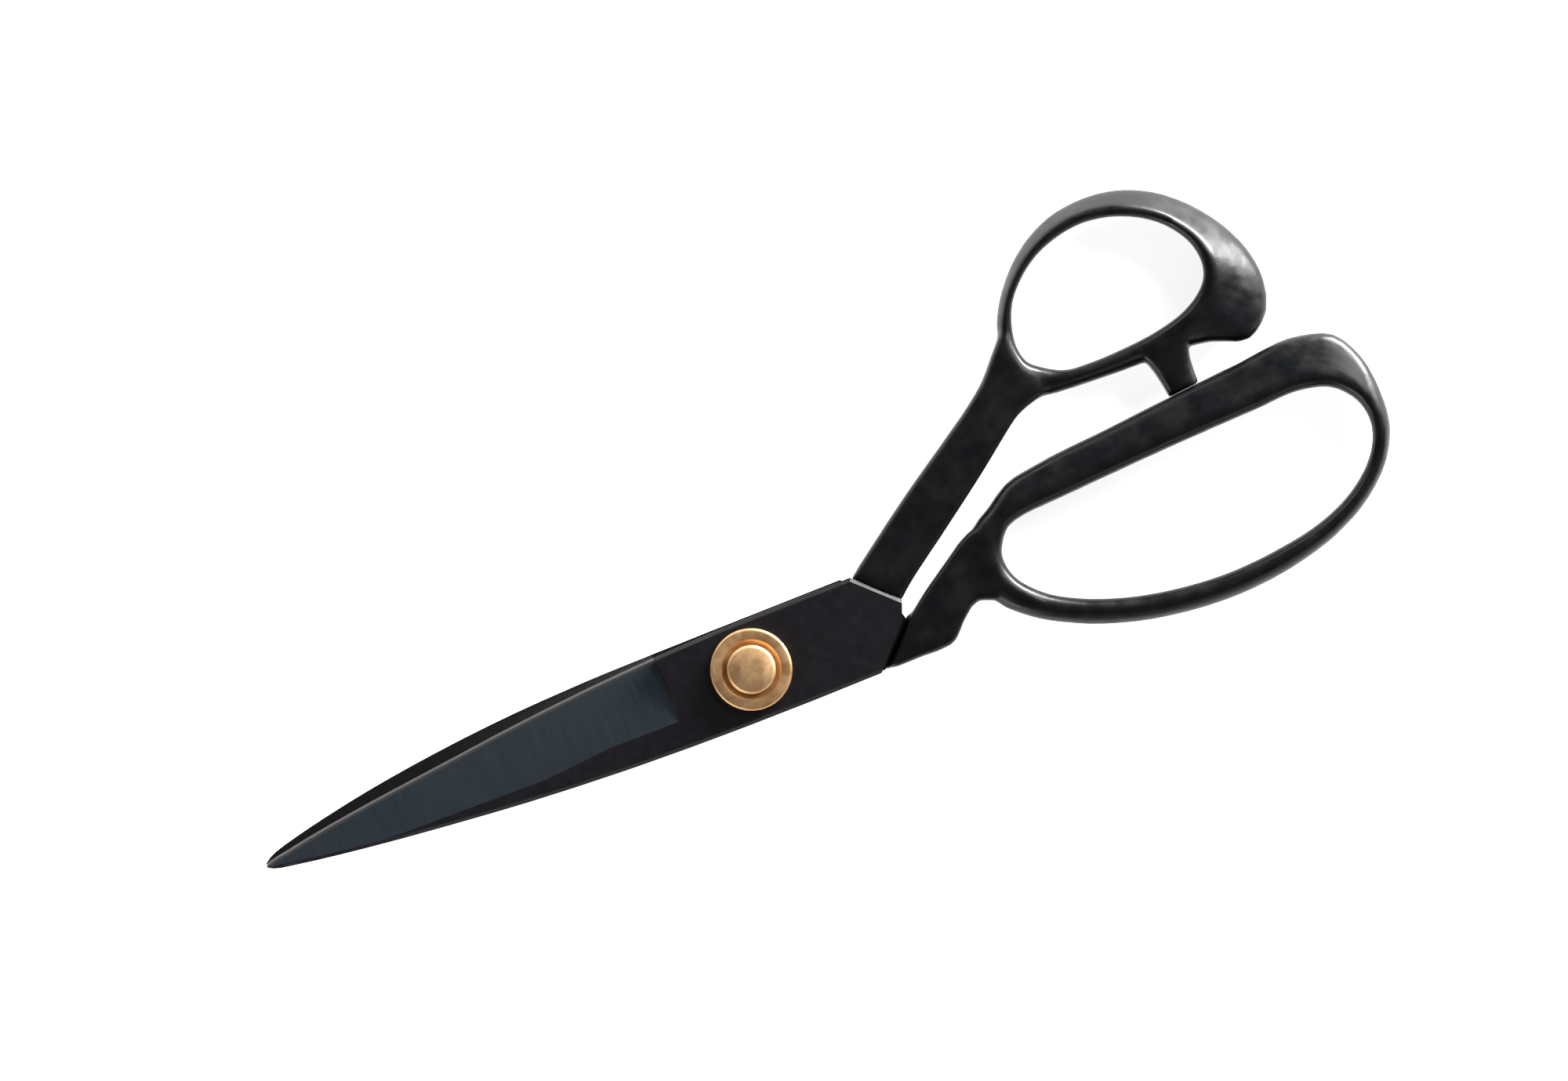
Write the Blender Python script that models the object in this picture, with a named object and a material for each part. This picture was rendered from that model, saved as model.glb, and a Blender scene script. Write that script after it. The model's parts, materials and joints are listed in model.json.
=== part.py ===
"""Fabric shears of the bent-handle tailor's pattern, 8 inches long, modelled closed.

Frame: the origin is on the pivot's axis, at the end face of the pivot bolt, which is the
plane that the shears lie on. +X runs from the tips to the handles, +Y towards the thumb
ring, and +Z out of the face that shows the bolt's head.

Every size in this file is in millimetres. MM turns them into Blender's metres where a mesh
is made. A "level" is a height on the Z axis, and a "station" is a cut across a piece.
"""

import math

import bmesh
import bpy
import numpy as np
from mathutils import Vector

MM = 0.001

# --- Driving dimensions -------------------------------------------------------------------

TIP_X = -87.7  # pivot axis to the tips; with the bow's end at 115.4 this makes 8 inches
BLADE_THICKNESS = 3.2  # one blade at the pivot, its steel facing included
STEEL_THICKNESS = 0.9  # the hard steel facing on a blade's inner side
SEAM = 0.3  # between two pieces that are welded, brazed or pressed together
BLADE_GAP = 0.3  # between the inner faces of the two blades
SEAT = 0.1  # between washers and nut, stacked on the bolt
EDGE_BEVEL = 0.8  # width of the sharpened bevel
HOLLOW = 0.15  # how far the inner face of a blade is ground hollow
CHAMFER = 0.6  # along the edges of a blade's outer face

BOLT_RADIUS = 2.5
RUNNING_CLEARANCE = 0.08
HEAD_RADIUS = 4.15
HEAD_HEIGHT = 1.7
HEAD_DOME = 0.25  # rise of the head's top inside its rounded edge
HEAD_ROUNDING = 0.5
BOLT_PROUD = 0.3  # the bolt's end beyond the nut
BOLT_POINT = 0.4  # chamfer of that end
FRONT_WASHER_RADIUS = 6.9
FRONT_WASHER_THICKNESS = 1.2
FRONT_WASHER_FLOOR = 0.7
FRONT_WASHER_ROUNDING = 0.5
RIM_CLEARANCE = 0.45  # between the bolt's head and the foot of the front washer's rim
RIM_SLOPE = 0.5
BACK_WASHER_RADIUS = 6.0
BACK_WASHER_THICKNESS = 0.8
BACK_WASHER_ROUNDING = 0.2
LOCK_WASHER_OUTER = 4.4
LOCK_WASHER_INNER = 2.75
LOCK_WASHER_THICKNESS = 0.8
LOCK_WASHER_SLIT = 18  # degrees
NUT_ACROSS_FLATS = 8.0
NUT_THICKNESS = 2.2
NUT_FACE_INSET = 0.1  # the round face of the nut, inside its flats
NUT_CHAMFER = math.radians(30)

TANG_THICKNESS = 1.0
TANG_WIDTH = 4.0
TANG_LENGTH = 13.0

TURNED_STEPS = 48
BEYOND = 20.0  # how far a cutting shape reaches past what it cuts
ROW_SPACING = 2.1  # between the stations of a handle
BLADE_SPACING = 4.0  # between the stations of a blade
CORNER_POINTS = 4  # on each rounded corner of a handle's section

# --- Levels, from the resting plane up ----------------------------------------------------

NUT_BOTTOM = BOLT_PROUD
NUT_TOP = NUT_BOTTOM + NUT_THICKNESS
LOCK_BOTTOM = NUT_TOP + SEAT
LOCK_TOP = LOCK_BOTTOM + LOCK_WASHER_THICKNESS
BACK_WASHER_BOTTOM = LOCK_TOP + SEAT
BACK_WASHER_TOP = BACK_WASHER_BOTTOM + BACK_WASHER_THICKNESS
FINGER_OUTER = BACK_WASHER_TOP + SEAT  # outer face of the rear blade
FINGER_INNER = FINGER_OUTER + BLADE_THICKNESS
THUMB_INNER = FINGER_INNER + BLADE_GAP
THUMB_OUTER = THUMB_INNER + BLADE_THICKNESS  # outer face of the front blade
FRONT_WASHER_BOTTOM = THUMB_OUTER + SEAT
FRONT_WASHER_TOP = FRONT_WASHER_BOTTOM + FRONT_WASHER_THICKNESS
HEAD_BOTTOM = FRONT_WASHER_BOTTOM + FRONT_WASHER_FLOOR + SEAT
HEAD_TOP = HEAD_BOTTOM + HEAD_HEIGHT
BODY_FLOOR = STEEL_THICKNESS + SEAM  # a blade body's inner side, from the blade's inner face

# --- Blades: outlines as (x, y) along the length ------------------------------------------

PLUNGE_X = -14.0  # where the ground bevel ends and the full-thickness plate begins
PLUNGE_LENGTH = 0.6

THUMB_SPINE = [
    (TIP_X, -0.3), (-86.9, -0.8), (-84.0, -1.5), (-78.0, -2.5), (-68.0, -3.9), (-56.0, -5.3),
    (-42.0, -6.7), (-28.0, -7.7), (-12.0, -8.4), (6.0, -8.75), (19.3, -8.8),
]
THUMB_EDGE = [
    (TIP_X, 0.2), (-86.9, 0.55), (-84.0, 1.1), (-78.0, 2.1), (-68.0, 3.4), (-56.0, 4.7),
    (-42.0, 6.15), (-28.0, 7.3), (-14.0, 8.0), (6.0, 8.2), (20.6, 7.9),
]
FINGER_SPINE = [
    (TIP_X, 0.4), (-86.9, 1.0), (-84.0, 2.05), (-78.0, 3.4), (-68.0, 5.2), (-56.0, 6.75),
    (-42.0, 7.95), (-28.0, 8.5), (-12.0, 8.55), (6.0, 8.4), (19.3, 8.2),
]
# The line where the ground bevel meets the flat back of the blade, above the spine.
RIDGE_ABOVE_SPINE = [(-64.0, 0.6), (-50.0, 1.5), (-38.0, 2.9), (-26.0, 4.6), (-14.0, 6.1)]
# Thickness of a blade at that line.
THICKNESS = [(TIP_X, 1.5), (-76.0, 1.9), (-60.0, 2.4), (-40.0, 2.7), (-14.0, BLADE_THICKNESS)]
PLATE_END_X = 30.0  # the plates are drawn to here, and then cut to their arrow-shaped end
THUMB_PLATE_END = [(20.8, 8.3), (27.8, 1.4), (26.5, -1.9), (20.0, -8.8)]
FINGER_PLATE_END = [(19.4, 8.3), (26.4, 1.4), (27.3, -2.05), (20.85, -8.5)]
BEVEL_FOOT = 1.4  # thickness where the ground bevel meets the sharpened bevel
BEVEL_CREST = 0.08  # the part of the ground bevel's width and rise that rounds its foot
HONED_EDGE = 0.1  # thickness of the facing at the cutting edge
TIP_STATIONS = (0.0, 0.4, 1.0, 2.2)  # from the tip, where the outline turns fastest
PLATE_STATIONS = (-4.0, 8.0)

# --- Handles ------------------------------------------------------------------------------
# A ring's stations: (inner x, inner y, outer x, outer y, low level, high level, fall, lean).
# The crest of the section runs close to the hole. The fall is how much lower than the crest
# the outer side begins, and the lean is how far the inner wall recedes towards the back, so
# that the ring opens wider there.

THUMB_RING = [
    (61.8, 35.3, 59.4, 36.6, 3.2, 10.7, 1.2, 0.2),
    (62.9, 38.9, 60.5, 39.4, 2.6, 10.7, 1.6, 0.3),
    (66.0, 43.1, 64.3, 44.8, 2.0, 10.8, 2.2, 0.4),
    (70.4, 46.3, 69.2, 49.0, 1.4, 10.9, 2.7, 0.6),
    (75.0, 47.9, 74.4, 51.5, 0.9, 11.0, 3.1, 0.9),
    (79.4, 48.4, 80.0, 52.4, 0.5, 11.1, 3.5, 1.2),
    (84.0, 47.7, 86.2, 51.8, 0.2, 11.2, 4.0, 1.5),
    (88.5, 45.8, 92.4, 49.2, 0.0, 11.3, 4.6, 1.8),
    (92.3, 42.8, 97.8, 44.6, 0.0, 11.4, 5.2, 2.1),
    (94.8, 39.1, 101.6, 39.4, 0.0, 11.5, 5.6, 2.4),
    (95.6, 35.4, 103.9, 34.0, 0.0, 11.5, 5.8, 2.6),
    (94.8, 32.2, 104.5, 28.2, 0.2, 11.4, 5.6, 2.4),
    (92.8, 30.1, 103.0, 23.3, 0.8, 11.2, 4.9, 2.0),
    (90.2, 28.6, 98.4, 19.9, 1.4, 11.0, 3.8, 1.5),
    (87.3, 27.6, 92.2, 21.9, 1.8, 10.8, 2.6, 1.0),
    (83.0, 26.8, 85.6, 22.8, 2.0, 10.7, 1.8, 0.6),
    (78.0, 26.4, 78.8, 22.9, 2.2, 10.7, 1.4, 0.4),
    (72.0, 26.3, 72.0, 23.2, 2.4, 10.7, 1.2, 0.3),
    (67.0, 27.0, 66.2, 23.6, 2.8, 10.7, 1.2, 0.2),
    (63.6, 29.2, 62.4, 24.1, 3.2, 10.7, 1.2, 0.2),
    (61.8, 31.9, 59.4, 31.0, 3.4, 10.7, 1.2, 0.2),
]
FINGER_BOW = [
    (46.1, 0.5, 41.4, 1.3, 1.6, 11.6, 0.8, 0.4),
    (46.8, 3.4, 43.0, 7.7, 1.2, 11.7, 0.8, 0.6),
    (48.8, 5.9, 46.9, 10.1, 0.8, 11.8, 0.8, 0.9),
    (52.2, 6.8, 51.0, 12.7, 0.4, 11.9, 0.8, 1.2),
    (58.0, 7.1, 57.4, 13.9, 0.1, 11.9, 0.9, 1.4),
    (70.0, 7.7, 70.0, 14.9, 0.0, 11.9, 1.0, 1.5),
    (82.0, 8.2, 82.0, 15.9, 0.0, 11.9, 1.1, 1.5),
    (94.0, 8.5, 94.0, 16.8, 0.0, 11.9, 1.4, 1.5),
    (103.6, 8.6, 106.4, 17.3, 0.0, 11.9, 1.8, 1.4),
    (107.6, 7.4, 111.6, 15.4, 0.0, 11.8, 2.0, 1.2),
    (110.4, 4.7, 114.5, 10.4, 0.1, 11.7, 1.8, 0.9),
    (111.8, 1.0, 115.4, 3.6, 0.3, 11.5, 1.5, 0.6),
    (111.4, -2.6, 114.8, -2.2, 0.6, 11.3, 1.2, 0.4),
    (109.2, -6.3, 112.1, -7.4, 0.8, 11.1, 1.0, 0.3),
    (104.8, -10.0, 107.0, -12.2, 1.0, 10.9, 0.9, 0.3),
    (98.0, -13.0, 99.4, -16.1, 1.0, 10.8, 0.9, 0.3),
    (90.0, -14.5, 90.9, -18.3, 1.0, 10.8, 0.9, 0.4),
    (81.0, -15.1, 81.3, -19.2, 1.0, 10.8, 0.9, 0.4),
    (72.0, -14.4, 71.5, -18.6, 1.0, 10.8, 0.9, 0.5),
    (63.0, -12.5, 61.8, -16.6, 1.1, 10.9, 0.9, 0.5),
    (55.4, -9.6, 53.2, -13.3, 1.3, 11.0, 0.9, 0.4),
    (50.0, -6.2, 46.2, -9.0, 1.6, 11.2, 0.8, 0.4),
    (47.2, -3.0, 42.4, -5.0, 1.8, 11.4, 0.8, 0.4),
]
CREST = 1.4  # from the hole's edge to the crest of the section
CREST_DROP = 1.8  # from the crest down to the innermost line of the hole
SIDE_DROP = 1.6  # from the start of the outer side down to the ring's outermost line
OUTER_CHAMFER = 0.8  # how far in from the outermost line the outer side begins
RING_ROUNDING = 1.3

# A shank's stations, from the blade to the ring: (upper x, upper y, lower x, lower y, low
# level, high level).
THUMB_SHANK = [
    (21.6, 8.1, 28.0, 1.6, 4.7, 10.8),
    (25.0, 10.5, 30.1, 3.3, 4.7, 10.8),
    (35.0, 17.4, 39.2, 9.6, 4.6, 10.8),
    (45.0, 23.8, 49.4, 16.8, 4.4, 10.8),
    (50.0, 27.1, 54.2, 20.4, 4.2, 10.8),
    (54.0, 30.2, 57.2, 22.5, 4.0, 10.7),
    (57.0, 33.5, 59.7, 23.5, 3.8, 10.7),
    (60.1, 36.9, 63.0, 24.3, 3.6, 10.6),
]
FINGER_SHANK = [
    (27.9, -1.9, 20.9, -8.8, 4.7, 10.8),
    (30.6, 0.2, 27.4, -8.8, 4.7, 10.8),
    (33.2, 2.0, 32.6, -8.8, 4.7, 10.8),
    (34.6, 2.9, 33.7, -8.3, 4.7, 10.8),
    (37.4, 4.7, 36.0, -6.0, 4.6, 10.8),
    (40.0, 6.4, 38.2, -4.2, 4.5, 10.7),
    (42.0, 7.4, 39.8, -3.7, 4.4, 10.7),
    (43.8, 8.0, 42.6, -4.8, 4.4, 10.7),
]
SHANK_ROUNDING = 1.1

# The stop under the thumb ring, from its root down to the bow: (left x, left y, right x,
# right y, low level, high level).
STOP_LUG = [
    (80.0, 24.6, 89.0, 24.8, 2.8, 10.0),
    (81.0, 22.2, 88.3, 22.4, 3.4, 9.7),
    (81.5, 20.5, 87.9, 20.8, 3.8, 9.4),
    (82.2, 16.0, 87.7, 16.45, 4.2, 9.0),
]
LUG_ROUNDING = 1.5

# Where the two levels of a handle's root begin: the blade's own level meets the plate's
# end, and the other level stands clear of the other blade.
THUMB_ROOT_STEP = ((20.4, 10.8), (32.4, -1.2))
FINGER_ROOT_STEP = ((20.1, -10.6), (29.0, -1.7))
STEP_CUTTER_WIDTH = 6.0

THUMB_TANG = ((23.6, 4.0), 36.0)  # the middle of its root, and its direction in degrees
FINGER_TANG = ((20.6, -5.7), 10.0)


# --- Curves and sections ------------------------------------------------------------------


def smooth_rows(rows, spacing, closed=False):
    """Rows of numbers joined by a smooth curve, with one row about every spacing."""
    points = np.array(rows, float)
    if closed:
        points = np.vstack([points, points[:1]])
    steps = np.diff(points, axis=0)
    gaps = np.linalg.norm(steps[:, :2], axis=1)
    if points.shape[1] > 3:
        gaps = np.maximum(gaps, np.linalg.norm(steps[:, 2:4], axis=1))
    slopes = steps / gaps[:, None]
    if closed:
        before, before_gaps = np.roll(slopes, 1, axis=0), np.roll(gaps, 1)
        after, after_gaps = slopes, gaps
    else:
        before, before_gaps = slopes[:-1], gaps[:-1]
        after, after_gaps = slopes[1:], gaps[1:]
    total = (before_gaps + after_gaps)[:, None]
    tangents = (before * after_gaps[:, None] + after * before_gaps[:, None]) / total
    ends = (tangents, tangents[:1]) if closed else (slopes[:1], tangents, slopes[-1:])
    tangents = np.vstack(ends)
    made = []
    for i, gap in enumerate(gaps):
        count = max(1, round(gap / spacing))
        for t in np.linspace(0, 1, count, endpoint=False):
            made.append(
                points[i] * (1 + 2 * t) * (1 - t) ** 2
                + points[i + 1] * t * t * (3 - 2 * t)
                + tangents[i] * gap * t * (1 - t) ** 2
                + tangents[i + 1] * gap * t * t * (t - 1)
            )
    if not closed:
        made.append(points[-1])
    return np.array(made)


def value_at(curve, x):
    """The y of a list of (x, y) at x, on the smooth curve through it."""
    fine = smooth_rows(curve, 0.5)
    return float(np.interp(x, fine[:, 0], fine[:, 1]))


def rounded_outline(corners, rounding):
    """A polygon's points with each corner rounded, fitted to the width of its corners."""
    corners = [Vector(corner) for corner in corners]
    points = []
    for i, corner in enumerate(corners):
        before = corners[i - 1] - corner
        after = corners[(i + 1) % len(corners)] - corner
        first = corner + before.normalized() * min(rounding, 0.45 * before.length)
        last = corner + after.normalized() * min(rounding, 0.45 * after.length)
        for k in range(CORNER_POINTS):
            t = k / (CORNER_POINTS - 1)
            points.append(first * (1 - t) ** 2 + corner * 2 * t * (1 - t) + last * t * t)
    left, right = min(c.x for c in corners), max(c.x for c in corners)
    low, high = min(p.x for p in points), max(p.x for p in points)
    return [(left + (p.x - low) * (right - left) / (high - low), p.y) for p in points]


def ring_section(width, low, high, fall, lean):
    """Points (across from the hole's edge, level) round a ring's section."""
    crest = min(CREST, 0.36 * width)
    edge = min(OUTER_CHAMFER, 0.2 * width)
    corners = [
        (0, high - CREST_DROP), (crest, high), (width - edge, high - fall),
        (width, high - fall - SIDE_DROP), (width - edge, low), (edge + lean, low),
    ]
    return rounded_outline(corners, RING_ROUNDING)


def bar_section(width, low, high, rounding):
    """Points (across from its upper edge, level) round a bar's section."""
    return rounded_outline([(0, low), (0, high), (width, high), (width, low)], rounding)


# --- Meshes -------------------------------------------------------------------------------


def new_object(name, mesh_builder, smooth_angle=35):
    """An object in the scene from a bmesh, with its faces pointing out."""
    bmesh.ops.recalc_face_normals(mesh_builder, faces=mesh_builder.faces)
    mesh = bpy.data.meshes.new(name)
    mesh_builder.to_mesh(mesh)
    mesh_builder.free()
    obj = bpy.data.objects.new(name, mesh)
    bpy.context.scene.collection.objects.link(obj)
    mesh.shade_smooth()
    mesh.set_sharp_from_angle(angle=math.radians(smooth_angle))
    return obj


def loft(name, sections, closed=False):
    """A solid through rings of points, each the same count, closed on itself or capped."""
    bm = bmesh.new()
    rings = [[bm.verts.new(Vector(p) * MM) for p in section] for section in sections]
    pairs = list(zip(rings, rings[1:]))
    if closed:
        pairs.append((rings[-1], rings[0]))
    for first, second in pairs:
        count = len(first)
        for i in range(count):
            j = (i + 1) % count
            bm.faces.new((first[i], first[j], second[j], second[i]))
    if not closed:
        bm.faces.new(rings[0])
        bm.faces.new(rings[-1])
    return new_object(name, bm)


def turned(name, profile, steps=TURNED_STEPS):
    """A closed profile of (radius, level) points turned round the pivot's axis."""
    bm = bmesh.new()
    verts = [bm.verts.new((r * MM, 0, level * MM)) for r, level in profile]
    for a, b in zip(verts, verts[1:] + verts[:1]):
        bm.edges.new((a, b))
    bmesh.ops.spin(
        bm, geom=bm.verts[:] + bm.edges[:], axis=(0, 0, 1), cent=(0, 0, 0),
        angle=2 * math.pi, steps=steps, use_merge=True,
    )
    bmesh.ops.remove_doubles(bm, verts=bm.verts, dist=1e-6)
    bmesh.ops.dissolve_degenerate(bm, edges=bm.edges, dist=1e-7)
    return new_object(name, bm)


def prism(name, corners, low, high):
    """An outline of (x, y) corners, extruded between two levels."""
    bm = bmesh.new()
    base = bm.faces.new([bm.verts.new((x * MM, y * MM, low * MM)) for x, y in corners])
    lifted = bmesh.ops.extrude_face_region(bm, geom=[base])["geom"]
    top = [g for g in lifted if isinstance(g, bmesh.types.BMVert)]
    bmesh.ops.translate(bm, vec=(0, 0, (high - low) * MM), verts=top)
    return new_object(name, bm)


def bar(name, start, direction, length, width, low, high):
    """A straight bar in plan from a point, along a direction in degrees."""
    along = Vector((math.cos(math.radians(direction)), math.sin(math.radians(direction))))
    side = Vector((-along.y, along.x)) * width / 2
    near = Vector(start)
    far = near + along * length
    return prism(name, [near - side, far - side, far + side, near + side], low, high)


def cylinder(name, radius, low, high):
    """A plain cylinder on the pivot's axis."""
    return turned(name, [(0, low), (radius, low), (radius, high), (0, high)])


def combine(target, operation, *helpers):
    """Joins, cuts or trims the target with helper objects, which are then removed."""
    for helper in helpers:
        modifier = target.modifiers.new(operation.title(), "BOOLEAN")
        modifier.operation = operation
        modifier.solver = "EXACT"
        modifier.object = helper
    graph = bpy.context.evaluated_depsgraph_get()
    mesh = bpy.data.meshes.new_from_object(target.evaluated_get(graph))
    target.modifiers.clear()
    target.data = mesh
    for helper in helpers:
        bpy.data.objects.remove(helper)
    return target


def placed(row, section):
    """A section's points in space, on the line that a row draws from its a to its b."""
    start = Vector(row[:2])
    direction = (Vector(row[2:4]) - start).normalized()
    return [(*(start + direction * side), level) for side, level in section]


def row_width(row):
    return (Vector(row[2:4]) - Vector(row[:2])).length


def ring_sections(rows):
    """Sections through a ring's smooth rows."""
    return [
        placed(row, ring_section(row_width(row), *row[4:]))
        for row in smooth_rows(rows, ROW_SPACING, closed=True)
    ]


def bar_sections(rows, rounding):
    """Sections through a bar's smooth rows of (a x, a y, b x, b y, low level, high level)."""
    return [
        placed(row, bar_section(row_width(row), *row[4:], rounding))
        for row in smooth_rows(rows, ROW_SPACING)
    ]


# --- Blades -------------------------------------------------------------------------------


def blade_stations():
    """The x of each cut across a blade, from the tip to the end of its plate."""
    tip = [TIP_X + offset for offset in TIP_STATIONS]
    bevel_length = PLUNGE_X - PLUNGE_LENGTH - TIP_X
    count = round(bevel_length / BLADE_SPACING)
    bevel = [TIP_X + bevel_length * i / count for i in range(1, count + 1)]
    return [*tip, *bevel, PLUNGE_X, *PLATE_STATIONS, PLATE_END_X]


def across_blade(x, side):
    """(spine y, edge y) of the thumb blade (side 1) or the finger blade (side -1) at x."""
    thumb_spine, thumb_edge = value_at(THUMB_SPINE, x), value_at(THUMB_EDGE, x)
    if side > 0:
        return thumb_spine, thumb_edge
    finger_spine = value_at(FINGER_SPINE, x)
    return finger_spine, finger_spine - (thumb_edge - thumb_spine)


def blade_thickness(x):
    return value_at(THICKNESS, x) if x < PLUNGE_X else BLADE_THICKNESS


def body_section(x, side):
    """The blade's outer part at x, as (y, height above the inner face) points."""
    spine, edge = across_blade(x, side)
    inward = 1 if side > 0 else -1
    thick = blade_thickness(x)
    if x >= PLUNGE_X:
        shoulder, shoulder_height = edge, thick - CHAMFER
        crest, crest_height = edge - inward * CHAMFER, thick
        ridge = (spine + edge) / 2
    else:
        shoulder = edge - inward * min(EDGE_BEVEL, 0.45 * abs(edge - spine))
        shoulder_height = BEVEL_FOOT
        above = value_at(RIDGE_ABOVE_SPINE, max(x, RIDGE_ABOVE_SPINE[0][0]))
        ridge = spine + inward * min(above, 0.3 * abs(edge - spine))
        crest = shoulder - inward * BEVEL_CREST * abs(shoulder - ridge)
        crest_height = shoulder_height + BEVEL_CREST * (thick - shoulder_height)
    small = min(CHAMFER, 0.18 * abs(edge - spine))
    return [
        (spine, BODY_FLOOR), (shoulder, BODY_FLOOR), (shoulder, shoulder_height),
        (crest, crest_height), (ridge, thick), (spine + inward * small, thick),
        (spine, thick - min(CHAMFER, 0.5 * (thick - BODY_FLOOR))),
    ]


def steel_section(x, side):
    """The blade's steel facing at x, as (y, height above the inner face) points."""
    spine, edge = across_blade(x, side)
    inward = 1 if side > 0 else -1
    width = abs(edge - spine)
    if x >= PLUNGE_X:
        hollow, shoulder = 0.0, edge
    else:
        hollow = HOLLOW * min(1, width / 8)
        shoulder = edge - inward * min(EDGE_BEVEL, 0.45 * width)
    return [
        (spine, 0.0), (spine + inward * 0.3 * width, hollow),
        (edge - inward * 0.3 * width, hollow), (edge, 0.0), (edge, HONED_EDGE),
        (shoulder, STEEL_THICKNESS), (spine, STEEL_THICKNESS),
    ]


def blade_solid(name, section, side):
    """A lofted blade part, with the arrow-shaped end of its plate and its pivot hole."""
    level = THUMB_INNER if side > 0 else FINGER_INNER
    sections = [
        [(x, y, level + side * height) for y, height in section(x, side)]
        for x in blade_stations()
    ]
    solid = loft(name, sections)
    end = THUMB_PLATE_END if side > 0 else FINGER_PLATE_END
    before_tip = TIP_X - BEYOND
    kept = [
        (before_tip, BEYOND), (before_tip, -BEYOND), (end[-1][0], -BEYOND),
        *reversed(end), (end[0][0], BEYOND),
    ]
    combine(solid, "INTERSECT", prism("plate_outline", kept, -BEYOND, BEYOND))
    hole = cylinder("pivot_hole", BOLT_RADIUS + RUNNING_CLEARANCE, -BEYOND, BEYOND)
    return combine(solid, "DIFFERENCE", hole)


def tang_bar(name, tang, side, growth=0.0):
    """A blade's tang, or the larger slot for it when growth is given."""
    (x, y), direction = tang
    level = THUMB_INNER if side > 0 else FINGER_INNER
    middle = level + side * (BODY_FLOOR + TANG_THICKNESS / 2)
    half = TANG_THICKNESS / 2 + growth
    return bar(
        name, (x, y), direction, TANG_LENGTH + growth, TANG_WIDTH + 2 * growth,
        middle - half, middle + half,
    )


def blade(name, steel_name, tang, side):
    """A blade's forged body with its tang, and the steel facing welded to it."""
    body = blade_solid(name, body_section, side)
    combine(body, "UNION", tang_bar("tang", tang, side))
    return body, blade_solid(steel_name, steel_section, side)


# --- Handles ------------------------------------------------------------------------------


def root_step_cutter(line, side):
    """A slab that keeps a handle's root clear of the other blade's level."""
    a, b = Vector(line[0]), Vector(line[1])
    back = Vector((b.y - a.y, a.x - b.x)).normalized() * STEP_CUTTER_WIDTH
    if back.x > 0:
        back = -back
    corners = [a, b, b + back, a + back]
    middle = (FINGER_INNER + THUMB_INNER) / 2
    low, high = (-BEYOND, middle) if side > 0 else (middle, BEYOND)
    return prism("root_step", corners, low, high)


def handle(name, ring_rows, shank_rows, root_step, tang, side, *extras):
    """A handle casting: ring, shank and root, with the slot for the blade's tang."""
    ring = loft(name, ring_sections(ring_rows), closed=True)
    shank = loft("shank", bar_sections(shank_rows, SHANK_ROUNDING))
    combine(ring, "UNION", shank, *extras)
    combine(ring, "DIFFERENCE", root_step_cutter(root_step, side))
    return combine(ring, "DIFFERENCE", tang_bar("slot", tang, side, growth=SEAM))


# --- Pivot --------------------------------------------------------------------------------


def rounded_edge(radius, level, size, steps=4):
    """Points of a turned piece's rounded edge, from its side up to its flat face."""
    angles = [math.radians(90 * i / steps) for i in range(steps + 1)]
    return [
        (radius - size * (1 - math.cos(a)), level - size * (1 - math.sin(a))) for a in angles
    ]


def pivot_bolt():
    """A bolt with a low domed head, and its chamfered end past the nut."""
    dome_edge = HEAD_TOP - HEAD_DOME
    return turned(
        "pivot_bolt",
        [
            (0, 0), (BOLT_RADIUS - BOLT_POINT, 0), (BOLT_RADIUS, BOLT_POINT),
            (BOLT_RADIUS, HEAD_BOTTOM), (HEAD_RADIUS, HEAD_BOTTOM),
            *rounded_edge(HEAD_RADIUS, dome_edge, HEAD_ROUNDING),
            (0.5 * HEAD_RADIUS, HEAD_TOP - 0.25 * HEAD_DOME), (0, HEAD_TOP),
        ],
    )


def front_washer():
    """A dished brass washer: a raised rim round the recess that the bolt's head sits in."""
    bore = BOLT_RADIUS + RUNNING_CLEARANCE
    floor = FRONT_WASHER_BOTTOM + FRONT_WASHER_FLOOR
    rim_foot = HEAD_RADIUS + RIM_CLEARANCE
    return turned(
        "front_washer",
        [
            (bore, FRONT_WASHER_BOTTOM), (FRONT_WASHER_RADIUS, FRONT_WASHER_BOTTOM),
            *rounded_edge(FRONT_WASHER_RADIUS, FRONT_WASHER_TOP, FRONT_WASHER_ROUNDING),
            (rim_foot + RIM_SLOPE, FRONT_WASHER_TOP), (rim_foot, floor), (bore, floor),
        ],
    )


def back_washer():
    """A plain brass washer, its outer edge broken on the side that shows."""
    bore = BOLT_RADIUS + RUNNING_CLEARANCE
    inset = BACK_WASHER_RADIUS - BACK_WASHER_ROUNDING
    return turned(
        "back_washer",
        [
            (bore, BACK_WASHER_BOTTOM), (inset, BACK_WASHER_BOTTOM),
            (BACK_WASHER_RADIUS, BACK_WASHER_BOTTOM + BACK_WASHER_ROUNDING),
            (BACK_WASHER_RADIUS, BACK_WASHER_TOP), (bore, BACK_WASHER_TOP),
        ],
    )


def lock_washer():
    """A split spring washer, flattened under the nut."""
    sections = []
    for i in range(TURNED_STEPS + 1):
        turn = LOCK_WASHER_SLIT / 2 + (360 - LOCK_WASHER_SLIT) * i / TURNED_STEPS
        c, s = math.cos(math.radians(turn)), math.sin(math.radians(turn))
        sections.append(
            [
                (LOCK_WASHER_INNER * c, LOCK_WASHER_INNER * s, LOCK_BOTTOM),
                (LOCK_WASHER_OUTER * c, LOCK_WASHER_OUTER * s, LOCK_BOTTOM),
                (LOCK_WASHER_OUTER * c, LOCK_WASHER_OUTER * s, LOCK_TOP),
                (LOCK_WASHER_INNER * c, LOCK_WASHER_INNER * s, LOCK_TOP),
            ]
        )
    return loft("lock_washer", sections)


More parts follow.
